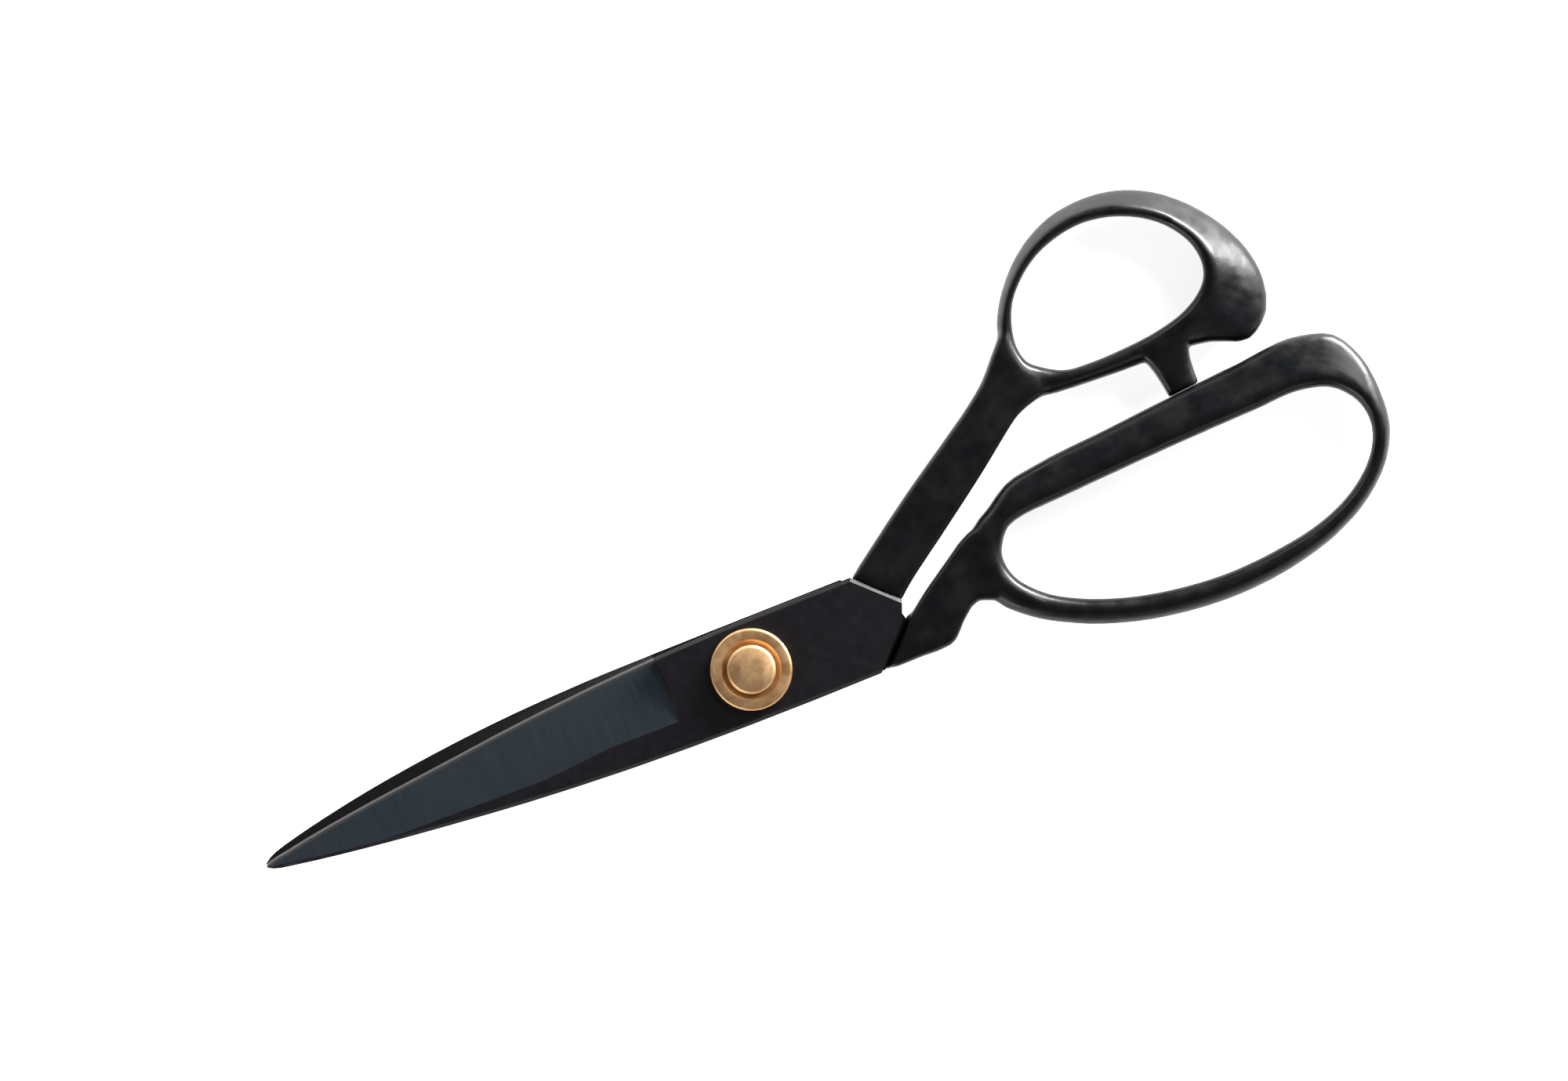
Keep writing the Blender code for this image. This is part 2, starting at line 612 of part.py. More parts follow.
def pivot_nut():
    """A thin hexagon nut, its corners chamfered on the outer side."""
    corner = NUT_ACROSS_FLATS / math.sqrt(3)
    corners = [
        (corner * math.cos(math.radians(60 * i)), corner * math.sin(math.radians(60 * i)))
        for i in range(6)
    ]
    nut = prism("pivot_nut", corners, NUT_BOTTOM, NUT_TOP)
    face = NUT_ACROSS_FLATS / 2 - NUT_FACE_INSET
    below = NUT_BOTTOM - NUT_FACE_INSET
    slope = math.tan(NUT_CHAMFER)
    cone_foot = face - NUT_FACE_INSET / slope
    trim = turned(
        "nut_trim",
        [
            (0, below), (cone_foot, below),
            (cone_foot + BEYOND, below + BEYOND * slope), (0, below + BEYOND * slope),
        ],
    )
    combine(nut, "INTERSECT", trim)
    bore = cylinder("nut_bore", BOLT_RADIUS + RUNNING_CLEARANCE, -BEYOND, BEYOND)
    return combine(nut, "DIFFERENCE", bore)


# --- Materials ----------------------------------------------------------------------------


def material(name, colour, roughness, metallic):
    made = bpy.data.materials.new(name)
    made.use_nodes = True
    shader = made.node_tree.nodes["Principled BSDF"]
    shader.inputs["Base Color"].default_value = (*colour, 1)
    shader.inputs["Roughness"].default_value = roughness
    shader.inputs["Metallic"].default_value = metallic
    return made


def paint(obj, finish):
    obj.data.materials.clear()
    obj.data.materials.append(finish)
    return obj


# --- The shears ---------------------------------------------------------------------------


def main():
    for obj in list(bpy.data.objects):
        bpy.data.objects.remove(obj)

    black_steel = material("blackened_steel", (0.030, 0.031, 0.036), 0.45, 0.9)
    bare_steel = material("ground_steel", (0.42, 0.41, 0.39), 0.3, 1.0)
    black_casting = material("black_casting", (0.012, 0.013, 0.016), 0.42, 0.2)
    brass = material("brass", (0.66, 0.43, 0.20), 0.35, 1.0)
    spring_steel = material("spring_steel", (0.30, 0.30, 0.31), 0.35, 1.0)

    thumb_blade, thumb_steel = blade("thumb_blade", "thumb_cutting_steel", THUMB_TANG, 1)
    finger_blade, finger_steel = blade("finger_blade", "finger_cutting_steel", FINGER_TANG, -1)
    lug = loft("stop_lug", bar_sections(STOP_LUG, LUG_ROUNDING))
    thumb_handle = handle(
        "thumb_handle", THUMB_RING, THUMB_SHANK, THUMB_ROOT_STEP, THUMB_TANG, 1, lug
    )
    finger_handle = handle(
        "finger_handle", FINGER_BOW, FINGER_SHANK, FINGER_ROOT_STEP, FINGER_TANG, -1
    )

    thumb_half = bpy.data.objects.new("thumb_half", None)
    bpy.context.scene.collection.objects.link(thumb_half)
    for piece in (thumb_blade, thumb_steel, thumb_handle):
        piece.parent = thumb_half

    for piece in (thumb_blade, finger_blade):
        paint(piece, black_steel)
    for piece in (thumb_steel, finger_steel):
        paint(piece, bare_steel)
    for piece in (thumb_handle, finger_handle):
        paint(piece, black_casting)
    for piece in (pivot_bolt(), front_washer(), back_washer(), pivot_nut()):
        paint(piece, brass)
    paint(lock_washer(), spring_steel)


main()
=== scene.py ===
"""The looks of the fabric shears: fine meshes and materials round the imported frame.

Lengths are in metres, as in the frame. MM is one millimetre.
"""

import json
import math

import bmesh
import bpy
from mathutils import Matrix, Vector


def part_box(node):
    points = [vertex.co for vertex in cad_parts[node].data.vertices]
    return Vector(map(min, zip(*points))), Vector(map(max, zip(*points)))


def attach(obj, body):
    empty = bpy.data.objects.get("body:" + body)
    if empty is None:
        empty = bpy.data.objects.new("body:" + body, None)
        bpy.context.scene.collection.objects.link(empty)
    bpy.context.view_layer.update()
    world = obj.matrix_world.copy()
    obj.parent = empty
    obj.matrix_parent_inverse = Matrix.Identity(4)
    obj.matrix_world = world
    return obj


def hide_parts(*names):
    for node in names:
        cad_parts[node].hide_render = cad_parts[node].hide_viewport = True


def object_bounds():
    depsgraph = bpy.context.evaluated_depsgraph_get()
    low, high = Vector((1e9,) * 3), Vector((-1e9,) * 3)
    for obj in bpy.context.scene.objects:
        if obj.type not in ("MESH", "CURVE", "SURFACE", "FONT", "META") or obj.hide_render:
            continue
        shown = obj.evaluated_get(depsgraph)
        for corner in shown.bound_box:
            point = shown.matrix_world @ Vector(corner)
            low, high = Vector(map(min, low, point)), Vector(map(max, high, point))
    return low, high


MM = 0.001

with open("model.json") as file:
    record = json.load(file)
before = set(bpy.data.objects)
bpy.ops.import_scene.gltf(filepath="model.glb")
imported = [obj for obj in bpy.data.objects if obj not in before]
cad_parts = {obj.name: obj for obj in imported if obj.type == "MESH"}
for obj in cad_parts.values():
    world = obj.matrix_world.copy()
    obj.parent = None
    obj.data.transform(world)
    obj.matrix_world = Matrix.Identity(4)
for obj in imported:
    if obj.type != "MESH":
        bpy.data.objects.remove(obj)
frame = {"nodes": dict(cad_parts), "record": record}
cad_low, cad_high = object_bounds()
nodes = frame["nodes"]
body_of_node = {
    node: body
    for body, members in frame["record"]["behaviour"]["bodies"].items()
    for node in members
}

# --- Sizes --------------------------------------------------------------------------------

HANDLE_VOXEL = 0.32 * MM
HANDLE_SMOOTHING = 9  # rounds, in every direction
HANDLE_SOFTENING = 40  # rounds, in height alone, which leaves the outline as it is
FACING = 0.997  # how nearly the normals of an end face point in its given direction
SEAM_CLOSED = 0.27 * MM  # how much of the 0.3 mm between a blade and its facing is closed
PLUNGE_X = -14.0 * MM  # the blades' ground bevels end here
BLADE_ROUNDING = 0.07 * MM
PLATE_END_BEVEL = 0.6 * MM
HONED_HEIGHT = 0.5 * MM  # how much of a facing's sharpened bevel is bare, from the cutting edge
FLAT = 0.995  # |normal z| of a blade's flat faces; its ground bevels lean more
STEEP = 0.90  # and its sharpened bevels and chamfers lean more than this

# The slots in the handles that hold the blades' tangs: the middle of the filled part's near
# end, its direction in degrees and its length. The near 2 mm of a slot stay open.
THUMB_SLOT = ((26.6, 6.2), 36.0, 10.2)
FINGER_SLOT = ((26.7, -4.6), 10.0, 7.7)

# End faces that are brought up to the piece that they meet before the castings are rounded:
# the direction, a point near the face, the reach round that point, and the distance.
THUMB_ROOT_END = (Vector((-1, -1, 0)).normalized(), (24.8, 4.8), 6.0, 0.48 * MM)
FINGER_ROOT_END = (Vector((-1, 1, 0)).normalized(), (24.4, -5.3), 6.0, 0.48 * MM)
LUG_END = (Vector((0.0815, -1, 0)).normalized(), (85.0, 16.2), 4.0, 0.08 * MM)

# Where the thumb ring grows out of its shank: the place, and the reach of the smoothing there.
RING_JOIN = ((61.5, 30.0), 9.0)
JOIN_SMOOTHING = 70  # rounds

SLOT_FILL_WIDTH = 4.7 * MM
SLOT_FILL_DEPTH = 1.7 * MM
SLOT_FILL_OUT = 0.5 * MM  # from the blade body's inner side to the middle of the filled part

WELD = 0.0005 * MM  # corners nearer than this are one
FLAT_ANGLE = 0.6  # degrees; faces that turn less than this are one face
BLADE_EDGE_ANGLE = 20  # degrees; a blade's edges that turn more are rounded
BLADE_SHARP_ANGLE = 12  # degrees; the shading is split where faces turn more
TURNED_SHARP_ANGLE = 40
SMALL_PIECE_ANGLE = 25

TURNED_STEPS = 128
TURNED_WELD = 0.001 * MM
EDGE_STEPS = 8  # round a turned piece's rounded edge
BOLT_RADIUS = 2.5 * MM
BOLT_POINT = 0.35 * MM  # rounding of the bolt's far end
HEAD_HEIGHT = 1.7 * MM
HEAD_DOME = 0.25 * MM
HEAD_ROUNDING = 0.75 * MM
WASHER_BORE = 2.58 * MM
WASHER_FLOOR = 0.7 * MM
RIM_FOOT = 4.6 * MM  # inner foot of the front washer's rim
RIM_ROUNDING = 0.5 * MM
RECESS_EDGE = RIM_FOOT + 0.45 * MM  # the recess is painted darker, as painted shade, out to this radius
FRONT_WASHER_UNDERSIDE = 0.15 * MM  # rounding of its lower edge
BACK_WASHER_UNDERSIDE = 0.2 * MM
BACK_WASHER_TOP = 0.1 * MM
NUT_ROUNDING = 0.12 * MM

CAMERA_LENS = 200.0
SENSOR = 36.0
VIEW_WIDTH = 263.3 * MM
VIEW_TILT = math.radians(-22.1)  # the picture's right-hand direction, from +X
VIEW_CENTRE = Vector((13.2, 17.95, 7.0)) * MM

TABLE_HALF = 6.0  # half the table's side
TABLE_GAP = 0.01 * MM  # from the lowest point of the shears down to the table
WORLD_LIGHT = 0.15


# --- Node trees ---------------------------------------------------------------------------


class Finish:
    """A Principled material with the texture nodes that it needs, in the piece's own space."""

    def __init__(self, name):
        self.material = bpy.data.materials.new(name)
        self.material.use_nodes = True
        self.tree = self.material.node_tree
        self.shader = self.tree.nodes["Principled BSDF"]
        self.place = self.tree.nodes.new("ShaderNodeTexCoord").outputs["Object"]

    def set(self, **values):
        for socket, value in values.items():
            self.shader.inputs[socket.replace("_", " ")].default_value = value

    def stretched(self, scale):
        mapping = self.tree.nodes.new("ShaderNodeMapping")
        mapping.inputs["Scale"].default_value = scale
        self.tree.links.new(self.place, mapping.inputs["Vector"])
        return mapping.outputs["Vector"]

    def noise(self, cell, detail=3.0, stretch=(1, 1, 1), distortion=0.0):
        """Noise with cells about this many metres across, from 0 to 1."""
        node = self.tree.nodes.new("ShaderNodeTexNoise")
        node.inputs["Scale"].default_value = 1.0 / cell
        node.inputs["Detail"].default_value = detail
        node.inputs["Distortion"].default_value = distortion
        self.tree.links.new(self.stretched(stretch), node.inputs["Vector"])
        return node.outputs["Fac"]

    def rings(self, pitch, distortion=1.0):
        """Rings round the piece's Z axis, as a lathe leaves."""
        node = self.tree.nodes.new("ShaderNodeTexWave")
        node.wave_type = "RINGS"
        node.rings_direction = "Z"
        node.inputs["Scale"].default_value = 1.0 / (20.0 * pitch) * math.pi
        node.inputs["Distortion"].default_value = distortion
        self.tree.links.new(self.place, node.inputs["Vector"])
        return node.outputs["Fac"]

    def ranged(self, value, low_in, high_in, low_out, high_out):
        node = self.tree.nodes.new("ShaderNodeMapRange")
        node.inputs["From Min"].default_value = low_in
        node.inputs["From Max"].default_value = high_in
        node.inputs["To Min"].default_value = low_out
        node.inputs["To Max"].default_value = high_out
        self.tree.links.new(value, node.inputs["Value"])
        return node.outputs["Result"]

    def mixed(self, factor, first, second):
        """A colour between two colours, or colour sockets, by a factor."""
        node = self.tree.nodes.new("ShaderNodeMix")
        node.data_type = "RGBA"
        self.tree.links.new(factor, node.inputs[0])
        for socket, colour in ((node.inputs[6], first), (node.inputs[7], second)):
            if isinstance(colour, tuple):
                socket.default_value = (*colour, 1)
            else:
                self.tree.links.new(colour, socket)
        return node.outputs[2]

    def colour(self, socket):
        self.tree.links.new(socket, self.shader.inputs["Base Color"])

    def roughness(self, socket):
        self.tree.links.new(socket, self.shader.inputs["Roughness"])

    def bump(self, height, depth, strength=1.0, under=None):
        """A bump this many metres deep, over another bump if one is given."""
        node = self.tree.nodes.new("ShaderNodeBump")
        node.inputs["Strength"].default_value = strength
        node.inputs["Distance"].default_value = depth
        self.tree.links.new(height, node.inputs["Height"])
        if under is not None:
            self.tree.links.new(under, node.inputs["Normal"])
        self.tree.links.new(node.outputs["Normal"], self.shader.inputs["Normal"])
        return node.outputs["Normal"]


# --- Materials ----------------------------------------------------------------------------


def handle_enamel():
    """Black enamel on the castings: satin, worn to a mottled sheen, over a fine orange peel."""
    finish = Finish("handle_enamel")
    finish.set(Specular_IOR_Level=0.38)
    patches = finish.noise(9 * MM, detail=4)
    finish.colour(finish.mixed(patches, (0.0006, 0.0008, 0.0011), (0.0017, 0.0021, 0.0030)))
    worn = finish.noise(3.2 * MM, detail=6)
    finish.roughness(finish.ranged(worn, 0.35, 0.65, 0.28, 0.42))
    peel = finish.bump(finish.noise(1.6 * MM, detail=3), 0.045 * MM, 0.6)
    finish.bump(finish.noise(0.3 * MM, detail=3), 0.008 * MM, 0.5, under=peel)
    return finish.material


def blade_coating():
    """The purplish black coating on a blade's plate, spine and inner face."""
    finish = Finish("blade_coating")
    finish.set(Specular_IOR_Level=0.27)
    patches = finish.noise(6 * MM, detail=5)
    finish.colour(finish.mixed(patches, (0.0026, 0.0019, 0.0031), (0.0060, 0.0046, 0.0070)))
    finish.roughness(finish.ranged(finish.noise(1.5 * MM, detail=5), 0.3, 0.7, 0.42, 0.54))
    grind = finish.bump(finish.noise(0.5 * MM, detail=3, stretch=(0.06, 1, 1)), 0.006 * MM, 0.5)
    finish.bump(finish.noise(0.16 * MM, detail=2), 0.004 * MM, 0.4, under=grind)
    return finish.material


def ground_bevel():
    """The blue-grey ground bevel, with fine lines running from the spine to the edge."""
    finish = Finish("ground_bevel")
    finish.set(Metallic=0.75)
    lines = finish.noise(0.35 * MM, detail=4, stretch=(1, 0.05, 0.05), distortion=0.3)
    clouds = finish.ranged(finish.noise(14 * MM, detail=3), 0.3, 0.7, 0.0, 0.5)
    streaked = finish.mixed(lines, (0.033, 0.047, 0.061), (0.046, 0.063, 0.080))
    finish.colour(finish.mixed(clouds, streaked, (0.054, 0.064, 0.074)))
    finish.roughness(finish.ranged(lines, 0.2, 0.8, 0.36, 0.46))
    finish.bump(lines, 0.004 * MM, 0.5)
    return finish.material


def bare_edge():
    """Bare sharpened steel, honed along the edge."""
    finish = Finish("bare_edge")
    finish.set(Metallic=1.0)
    lines = finish.noise(0.18 * MM, detail=4, stretch=(0.08, 1, 1))
    finish.colour(finish.mixed(lines, (0.070, 0.068, 0.065), (0.125, 0.122, 0.118)))
    finish.roughness(finish.ranged(lines, 0.2, 0.8, 0.30, 0.42))
    finish.bump(lines, 0.003 * MM, 0.5)
    return finish.material


def turned_brass(name, dull, clean):
    """Satin brass with lathe rings, in cloudy patches between two colours."""
    finish = Finish(name)
    finish.set(Metallic=1.0)
    patches = finish.ranged(finish.noise(2.4 * MM, detail=5, distortion=0.6), 0.32, 0.68, 0.0, 1.0)
    finish.colour(finish.mixed(patches, dull, clean))
    finish.roughness(finish.ranged(patches, 0.0, 1.0, 0.44, 0.56))
    lathe = finish.bump(finish.rings(0.22 * MM), 0.004 * MM, 0.35)
    finish.bump(finish.noise(0.5 * MM, detail=4), 0.006 * MM, 0.4, under=lathe)
    return finish.material


def spring_steel():
    """Bare spring steel, for the lock washer."""
    finish = Finish("spring_steel")
    finish.set(Metallic=1.0)
    patches = finish.noise(0.8 * MM, detail=4)
    finish.colour(finish.mixed(patches, (0.20, 0.20, 0.21), (0.34, 0.34, 0.35)))
    finish.roughness(finish.ranged(patches, 0.3, 0.7, 0.28, 0.42))
    return finish.material


def lit_table():
    """A plain white acrylic table, lit weakly from below."""
    finish = Finish("lit_table")
    finish.set(Roughness=0.9, Specular_IOR_Level=0.2, Emission_Strength=0.95)
    clouds = finish.noise(20 * MM, detail=3)
    white = finish.mixed(clouds, (0.88, 0.88, 0.88), (0.91, 0.91, 0.91))
    finish.colour(white)
    finish.tree.links.new(white, finish.shader.inputs["Emission Color"])
    return finish.material


# --- Meshes -------------------------------------------------------------------------------


def linked(name, data):
    """A new object with this data, in the scene."""
    item = bpy.data.objects.new(name, data)
    bpy.context.scene.collection.objects.link(item)
    return item


def built(name, builder):
    """A new object with the mesh that the builder holds, which ends the builder."""
    mesh = bpy.data.meshes.new(name)
    builder.to_mesh(mesh)
    builder.free()
    return linked(name, mesh)


def copy_of(node, name):
    """A piece with the node's own shape, welded."""
    builder = bmesh.new()
    builder.from_mesh(nodes[node].data)
    bmesh.ops.remove_doubles(builder, verts=builder.verts, dist=WELD)
    return built(name, builder)


def stand_for(piece, node):
    """Puts the finished piece in its node's place, on its body."""
    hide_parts(node)
    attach(piece, body_of_node[node])


def apply_modifiers(piece):
    """Makes the shape that the modifiers give the piece's own mesh."""
    graph = bpy.context.evaluated_depsgraph_get()
    mesh = bpy.data.meshes.new_from_object(piece.evaluated_get(graph))
    piece.modifiers.clear()
    piece.data = mesh


def add_smoothing(piece, name, rounds):
    smooth = piece.modifiers.new(name, "SMOOTH")
    smooth.factor = 0.5
    smooth.iterations = rounds
    return smooth


def add_rounding(piece, width, segments, angle):
    """Rounds the edges where faces turn more than this many degrees."""
    bevel = piece.modifiers.new("round", "BEVEL")
    bevel.width = width
    bevel.segments = segments
    bevel.limit_method = "ANGLE"
    bevel.angle_limit = math.radians(angle)
    return bevel


def split_shading(piece, angle):
    """Splits the shading where faces turn more than this many degrees."""
    piece.data.set_sharp_from_angle(angle=math.radians(angle))


def finish_piece(piece, node, material):
    """Shades and paints the piece, and puts it in its node's place."""
    piece.data.materials.clear()
    piece.data.materials.append(material)
    piece.data.shade_smooth()
    stand_for(piece, node)


def slot_filler(place, direction, length, middle_z):
    """A bar that fills a tang slot, so that the remesh sees a whole casting."""
    builder = bmesh.new()
    bmesh.ops.create_cube(builder, size=1)
    angle = math.radians(direction)
    along = Vector((math.cos(angle), math.sin(angle), 0))
    middle = (Vector((*place, 0)) + along * length / 2) * MM
    middle.z = middle_z
    size = Matrix.Diagonal((length * MM, SLOT_FILL_WIDTH, SLOT_FILL_DEPTH, 1))
    turn = Matrix.Translation(middle) @ Matrix.Rotation(angle, 4, "Z")
    bmesh.ops.transform(builder, matrix=turn @ size, verts=builder.verts)
    return built("slot_filler", builder)


def body_floor(blade_node):
    """The level of a blade body's inner side, and which way its outer side lies."""
    low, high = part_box(blade_node)
    steel_low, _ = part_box(blade_node.replace("blade", "cutting_steel"))
    return (high.z, -1) if steel_low.z > low.z else (low.z, 1)


def bring_up(piece, direction, place, reach, distance):
    """Moves the end faces near a place along the direction that they face."""
    builder = bmesh.new()
    builder.from_mesh(piece.data)
    builder.normal_update()
    middle = Vector(place) * MM
    ends = [
        face
        for face in builder.faces
        if face.normal.dot(direction) > FACING
        and (face.calc_center_median().xy - middle).length < reach * MM
    ]
    for vert in {vert for face in ends for vert in face.verts}:
        vert.co += direction * distance
    builder.to_mesh(piece.data)
    builder.free()


def smooth_join(piece, place, reach):
    """Smooths a casting further round one place, fading out at the reach.

    The place has to lie on the casting: with nothing in its group the modifier smooths it all.
    """
    group = piece.vertex_groups.new(name="join")
    for vertex in piece.data.vertices:
        away = (vertex.co.xy / MM - Vector(place)).length / reach
        if away < 1:
            group.add([vertex.index], 1 - away ** 2, "REPLACE")
    add_smoothing(piece, "join", JOIN_SMOOTHING).vertex_group = group.name
    apply_modifiers(piece)


def handle(node, blade_node, slot, ends, joins, material):
    """A casting's fine surface: one skin, with its edges and its joins rounded.

    The ends are the faces to bring up, and the joins are the places to smooth further.
    """
    piece = copy_of(node, node + "_casting")
    for end in ends:
        bring_up(piece, *end)
    floor, outward = body_floor(blade_node)
    filler = slot_filler(*slot, floor + outward * SLOT_FILL_OUT)
    union = piece.modifiers.new("fill", "BOOLEAN")
    union.operation = "UNION"
    union.solver = "EXACT"
    union.object = filler
    remesh = piece.modifiers.new("skin", "REMESH")
    remesh.mode = "VOXEL"
    remesh.voxel_size = HANDLE_VOXEL
    add_smoothing(piece, "round", HANDLE_SMOOTHING)
    soften = add_smoothing(piece, "soften", HANDLE_SOFTENING)
    soften.use_x = False
    soften.use_y = False
    apply_modifiers(piece)
    bpy.data.objects.remove(filler)
    for join in joins:
        smooth_join(piece, *join)
    finish_piece(piece, node, material)


def bevel_plate_end(builder):
    """Breaks the edge of the plate's outer face that faces the handle's shank."""
    diagonal = Vector((1, 1, 0)).normalized()
    edges = []
    for edge in builder.edges:
        normals = [face.normal for face in edge.link_faces]
        if any(n.z > FLAT for n in normals) and any(n.dot(diagonal) > FLAT for n in normals):
            edges.append(edge)
    bmesh.ops.bevel(builder, geom=edges, offset=PLATE_END_BEVEL, segments=1, affect="EDGES")


def blade_part(node, shape, first, second, is_second):
    """A blade's fine surface, in two finishes: the second on the faces that is_second picks."""
    piece = copy_of(node, node + "_skin")
    builder = bmesh.new()
    builder.from_mesh(piece.data)
    bmesh.ops.dissolve_limit(
        builder, angle_limit=math.radians(FLAT_ANGLE), verts=builder.verts, edges=builder.edges
    )
    shape(builder)
    builder.normal_update()
    for face in builder.faces:
        face.material_index = int(is_second(face))
    builder.to_mesh(piece.data)
    builder.free()
    for material in (first, second):
        piece.data.materials.append(material)
    add_rounding(piece, BLADE_ROUNDING, 2, BLADE_EDGE_ANGLE).harden_normals = True
    apply_modifiers(piece)
    piece.data.shade_smooth()
    split_shading(piece, BLADE_SHARP_ANGLE)
    stand_for(piece, node)


def blade(half, coating, bevel_finish, edge_finish):
    """A blade body with its ground bevel, and the facing with its sharpened bevel."""
    node = half + "_blade"
    steel = half + "_cutting_steel"
    floor, outward = body_floor(node)
    steel_low, steel_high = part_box(steel)
    honed = (steel_low.z if outward > 0 else steel_high.z) + outward * HONED_HEIGHT

    def close_seam(builder):
        for vert in builder.verts:
            if abs(vert.co.z - floor) < 0.01 * MM:
                vert.co.z -= outward * SEAM_CLOSED
        if outward > 0:
            bevel_plate_end(builder)

    def on_bevel(face):
        leans = STEEP < abs(face.normal.z) < FLAT
        return leans and face.calc_center_median().x < PLUNGE_X

    def mark_honed(builder):
        everything = builder.verts[:] + builder.edges[:] + builder.faces[:]
        bmesh.ops.bisect_plane(builder, geom=everything, plane_co=(0, 0, honed), plane_no=(0, 0, 1))

    def on_edge(face):
        leans = 0.2 < abs(face.normal.z) < STEEP
        return leans and outward * (face.calc_center_median().z - honed) < 0

    blade_part(node, close_seam, coating, bevel_finish, on_bevel)
    blade_part(steel, mark_honed, coating, edge_finish, on_edge)


def turned(name, profile):
    """A closed profile of (radius, level) points turned round the pivot's axis."""
    builder = bmesh.new()
    verts = [builder.verts.new((radius, 0, level)) for radius, level in profile]
    for first, second in zip(verts, verts[1:] + verts[:1]):
        builder.edges.new((first, second))
    bmesh.ops.spin(
        builder, geom=builder.verts[:] + builder.edges[:], axis=(0, 0, 1), cent=(0, 0, 0),
        angle=2 * math.pi, steps=TURNED_STEPS, use_merge=True,
    )
    bmesh.ops.remove_doubles(builder, verts=builder.verts, dist=TURNED_WELD)
    bmesh.ops.recalc_face_normals(builder, faces=builder.faces)
    return built(name, builder)


def rounded(radius, level, size, side=1):
    """Points of a rounded outer edge under (side -1) or over (side 1) a turned piece."""
    turns = [math.radians(90 * i / EDGE_STEPS) for i in range(EDGE_STEPS + 1)]
    points = [
        (radius - size * (1 - math.cos(a)), level - side * size * (1 - math.sin(a)))
        for a in turns
    ]
    return points if side > 0 else points[::-1]


def pivot_bolt(material):
    """The bolt, with its low domed head."""
    low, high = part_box("pivot_bolt")
    radius = (high.x - low.x) / 2
    under_head = high.z - HEAD_HEIGHT
    piece = turned(
        "pivot_bolt_turned",
        [
            (0, low.z), *rounded(BOLT_RADIUS, low.z, BOLT_POINT, side=-1),
            (BOLT_RADIUS, under_head), (radius, under_head),
            *rounded(radius, high.z - HEAD_DOME, HEAD_ROUNDING),
            (0.7 * radius, high.z - 0.45 * HEAD_DOME), (0.4 * radius, high.z - 0.14 * HEAD_DOME),
            (0, high.z),
        ],
    )
    finish_piece(piece, "pivot_bolt", material)
    split_shading(piece, TURNED_SHARP_ANGLE)


def front_washer(material, recess_shade_material):
    """The dished washer, with painted shade: darker brass in the recess round the bolt's head."""
    low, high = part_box("front_washer")
    radius = (high.x - low.x) / 2
    floor = low.z + WASHER_FLOOR
    piece = turned(
        "front_washer_turned",
        [
            (WASHER_BORE, low.z),
            *rounded(radius, low.z, FRONT_WASHER_UNDERSIDE, side=-1),
            *rounded(radius, high.z, RIM_ROUNDING),
            (RIM_FOOT + 0.55 * MM, high.z), (RIM_FOOT + 0.42 * MM, high.z - 0.04 * MM),
            (RIM_FOOT + 0.08 * MM, floor + 0.07 * MM), (RIM_FOOT - 0.05 * MM, floor),
            (WASHER_BORE, floor),
        ],
    )
    finish_piece(piece, "front_washer", material)
    split_shading(piece, TURNED_SHARP_ANGLE)
    piece.data.materials.append(recess_shade_material)
    # Faces in the recess get the darker brass, a painted shade round the bolt's head.
    for face in piece.data.polygons:
        in_recess = face.center.xy.length < RECESS_EDGE and face.center.z > low.z
        face.material_index = int(in_recess)


def back_washer(material):
    """The flat washer under the back blade."""
    low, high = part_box("back_washer")
    radius = (high.x - low.x) / 2
    piece = turned(
        "back_washer_turned",
        [
            (WASHER_BORE, low.z), *rounded(radius, low.z, BACK_WASHER_UNDERSIDE, side=-1),
            *rounded(radius, high.z, BACK_WASHER_TOP), (WASHER_BORE, high.z),
        ],
    )
    finish_piece(piece, "back_washer", material)
    split_shading(piece, TURNED_SHARP_ANGLE)


def small_piece(node, material):
    """A piece with the node's own shape and its edges slightly rounded."""
    piece = copy_of(node, node + "_finished")
    add_rounding(piece, NUT_ROUNDING, 3, SMALL_PIECE_ANGLE)
    apply_modifiers(piece)
    finish_piece(piece, node, material)
    split_shading(piece, SMALL_PIECE_ANGLE)


# --- Camera, table and light --------------------------------------------------------------


def camera():
    """A long lens straight above the shears, turned to the picture's level."""
    lens = bpy.data.cameras.new("camera")
    lens.lens = CAMERA_LENS
    lens.sensor_width = SENSOR
    eye = linked("camera", lens)
    above = Vector((0, 0, VIEW_WIDTH * CAMERA_LENS / SENSOR))
    turn = Matrix.Rotation(VIEW_TILT, 4, "Z")
    eye.matrix_world = Matrix.Translation(VIEW_CENTRE + above) @ turn
    bpy.context.scene.camera = eye


def table(material):
    """The plain table under the shears."""
    height = cad_low.z - TABLE_GAP
    signs = ((-1, -1), (1, -1), (1, 1), (-1, 1))
    corners = [(x * TABLE_HALF, y * TABLE_HALF, height) for x, y in signs]
    mesh = bpy.data.meshes.new("floor")
    mesh.from_pydata(corners, [], [(0, 1, 2, 3)])
    mesh.materials.append(material)
    ground = linked("floor", mesh)


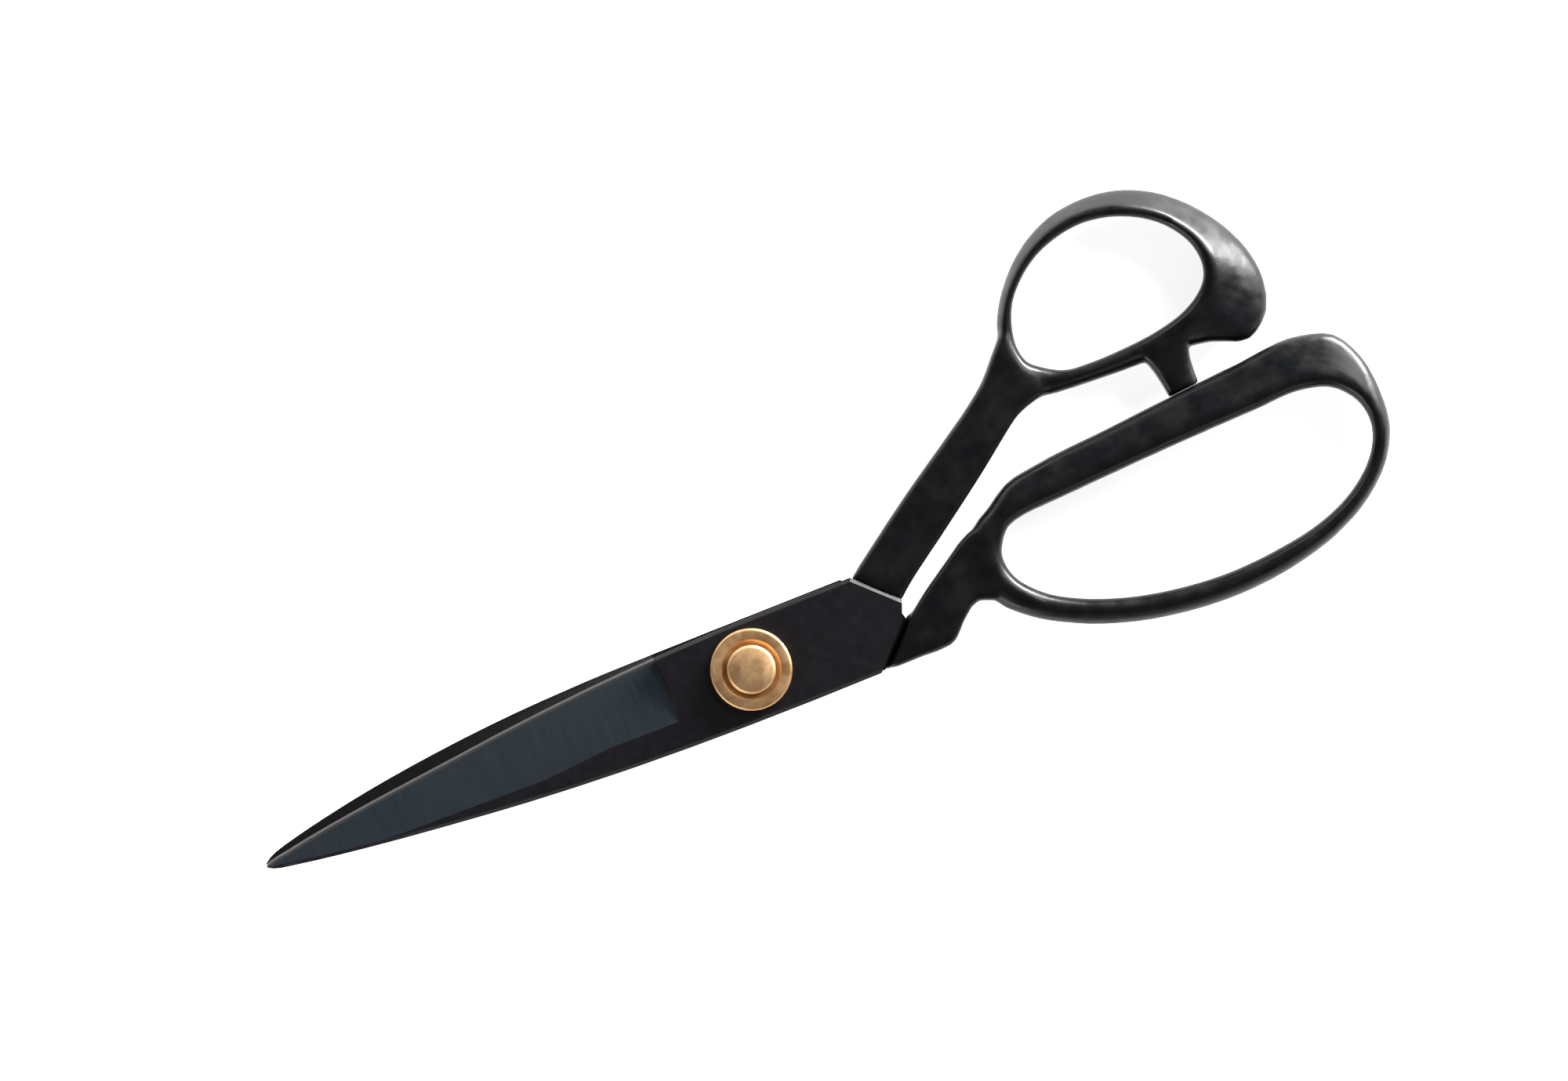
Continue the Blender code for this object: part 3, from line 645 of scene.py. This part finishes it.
def softbox(name, bearing, elevation, distance, width, height, power):
    """An area light aimed at the middle of the shears. Bearing is from the picture's right."""
    light = bpy.data.lights.new(name, "AREA")
    light.shape = "RECTANGLE"
    light.size = width
    light.size_y = height
    light.energy = power
    turn = math.radians(bearing) + VIEW_TILT
    rise = math.radians(elevation)
    away = Vector((math.cos(turn) * math.cos(rise), math.sin(turn) * math.cos(rise), math.sin(rise)))
    lamp = linked(name, light)
    lamp.location = VIEW_CENTRE + away * distance
    lamp.rotation_euler = away.to_track_quat("Z", "Y").to_euler()


def light_tent():
    """Soft light from all round, strongest at the picture's upper right, dark overhead."""
    world = bpy.data.worlds.new("tent")
    world.use_nodes = True
    background = world.node_tree.nodes["Background"]
    background.inputs["Color"].default_value = (1, 1, 1, 1)
    background.inputs["Strength"].default_value = WORLD_LIGHT
    bpy.context.scene.world = world
    softbox("key", 45, 42, 0.9, 0.4, 0.25, 2.5)
    softbox("rim", 50, 9, 0.9, 0.66, 0.26, 42)
    softbox("upper_left", 130, 16, 1.0, 0.7, 0.35, 3)
    softbox("lower_left", -125, 16, 1.0, 0.8, 0.35, 5)
    softbox("lower_right", -50, 16, 1.0, 0.7, 0.35, 1)
    bpy.context.scene.view_settings.view_transform = "Standard"


# --- The shears ---------------------------------------------------------------------------

camera()
table(lit_table())
light_tent()

enamel = handle_enamel()
coating = blade_coating()
bevel_finish = ground_bevel()
edge_finish = bare_edge()
brass = turned_brass("turned_brass", (0.62, 0.355, 0.155), (0.76, 0.49, 0.265))
# Darker brass, for the painted shade in the front washer's recess.
painted_shade_brass = turned_brass("recess_shade_brass", (0.44, 0.255, 0.118), (0.57, 0.350, 0.175))
handle(
    "thumb_handle", "thumb_blade", THUMB_SLOT, (THUMB_ROOT_END, LUG_END), (RING_JOIN,), enamel
)
handle("finger_handle", "finger_blade", FINGER_SLOT, (FINGER_ROOT_END,), (), enamel)
for half in ("thumb", "finger"):
    blade(half, coating, bevel_finish, edge_finish)
pivot_bolt(brass)
front_washer(brass, painted_shade_brass)
back_washer(brass)
small_piece("pivot_nut", brass)
small_piece("lock_washer", spring_steel())
